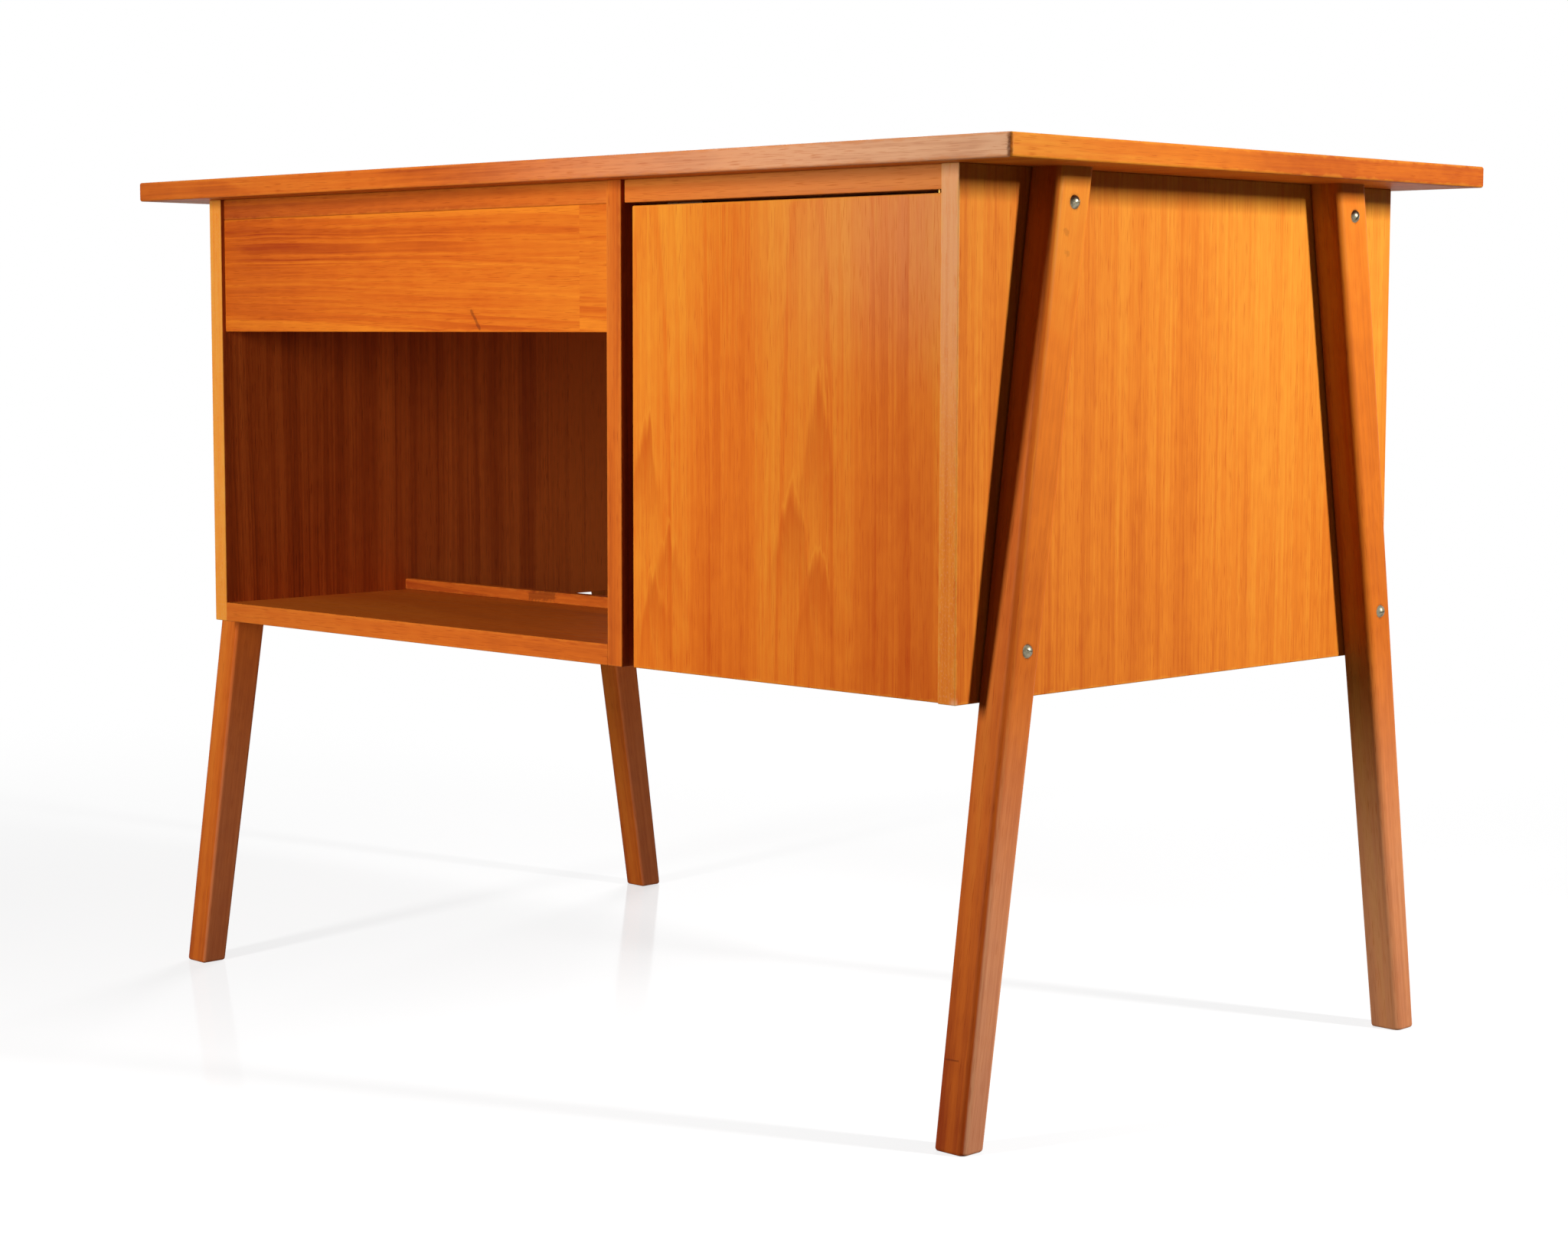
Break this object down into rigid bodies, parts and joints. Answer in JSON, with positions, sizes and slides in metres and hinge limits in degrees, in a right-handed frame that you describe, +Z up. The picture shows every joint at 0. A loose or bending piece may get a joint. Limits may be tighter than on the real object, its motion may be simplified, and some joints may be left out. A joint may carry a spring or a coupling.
{
  "type": "pedestal desk",
  "caption": "Teak pedestal desk on splayed legs, with a cupboard and open shelf on the visitor's side and drawers on the user's side.",
  "frame": {"origin": "on the floor under the middle of the top", "axes": "+X along the desk to the right as the visitor sees it, +Y towards the user, +Z up"},
  "size_m": [1.05, 0.597, 0.72],
  "materials": {
    "teak_veneer": "oiled satin",
    "teak_solid": "oiled satin",
    "drawer_beech": "matt lacquer",
    "drawer_plywood": "plain",
    "brass": "dull",
    "nickelled_steel": "worn",
    "catch_plastic": "matt"
  },
  "bodies": {
    "carcass": {"tabletop_board": "teak_veneer", "side_panel_left": "teak_veneer", "side_panel_right": "teak_veneer", "divider": "teak_veneer", "apron": "teak_veneer", "bookshelf_board": "teak_veneer", "pedestal_bottom": "teak_veneer", "pedestal_partition": "teak_veneer", "cupboard_shelf": "teak_veneer", "tabletop_lipping_visitor": "teak_solid", "tabletop_lipping_user": "teak_solid", "tabletop_lipping_left": "teak_solid", "tabletop_lipping_right": "teak_solid", "rail_visitor_left": "teak_solid", "rail_visitor_right": "teak_solid", "rail_user_left": "teak_solid", "rail_user_right": "teak_solid", "book_stop": "teak_solid", "leg_visitor_left": "teak_solid", "leg_visitor_right": "teak_solid", "leg_user_left": "teak_solid", "leg_user_right": "teak_solid", "carcass_dowels": "drawer_beech", "wide_drawer_runners": "drawer_beech", "pedestal_runners": "drawer_beech", "hinge_carcass_leaves": "brass", "hinge_washer": "brass", "cupboard_hardware_screws": "brass", "shelf_pegs": "brass", "leg_screws": "nickelled_steel", "tabletop_screws": "nickelled_steel", "door_catch": "catch_plastic"},
    "door": {"door_panel": "teak_veneer", "hinge_door_leaves": "brass", "hinge_door_screws": "brass", "door_strike": "nickelled_steel", "door_strike_screw": "brass"},
    "wide_drawer": {"wide_drawer_front": "teak_veneer", "wide_drawer_side_left": "drawer_beech", "wide_drawer_side_right": "drawer_beech", "wide_drawer_back": "drawer_beech", "wide_drawer_bottom": "drawer_plywood"},
    "lower_drawer": {"lower_drawer_front": "teak_veneer", "lower_drawer_side_left": "drawer_beech", "lower_drawer_side_right": "drawer_beech", "lower_drawer_back": "drawer_beech", "lower_drawer_bottom": "drawer_plywood"},
    "middle_drawer": {"middle_drawer_front": "teak_veneer", "middle_drawer_side_left": "drawer_beech", "middle_drawer_side_right": "drawer_beech", "middle_drawer_back": "drawer_beech", "middle_drawer_bottom": "drawer_plywood"},
    "upper_drawer": {"upper_drawer_front": "teak_veneer", "upper_drawer_side_left": "drawer_beech", "upper_drawer_side_right": "drawer_beech", "upper_drawer_back": "drawer_beech", "upper_drawer_bottom": "drawer_plywood"}
  },
  "joints": [
    {"name": "door_hinge", "type": "hinge", "parent": "carcass", "child": "door", "pos_m": [0.4285, -0.261, 0.5], "axis": [0, 0, 1], "range_deg": [0, 105]},
    {"name": "wide_drawer_slide", "type": "slide", "parent": "carcass", "child": "wide_drawer", "axis": [0, 1, 0], "range_m": [0, 0.28]},
    {"name": "lower_drawer_slide", "type": "slide", "parent": "carcass", "child": "lower_drawer", "axis": [0, 1, 0], "range_m": [0, 0.23]},
    {"name": "middle_drawer_slide", "type": "slide", "parent": "carcass", "child": "middle_drawer", "axis": [0, 1, 0], "range_m": [0, 0.23]},
    {"name": "upper_drawer_slide", "type": "slide", "parent": "carcass", "child": "upper_drawer", "axis": [0, 1, 0], "range_m": [0, 0.23]}
  ]
}
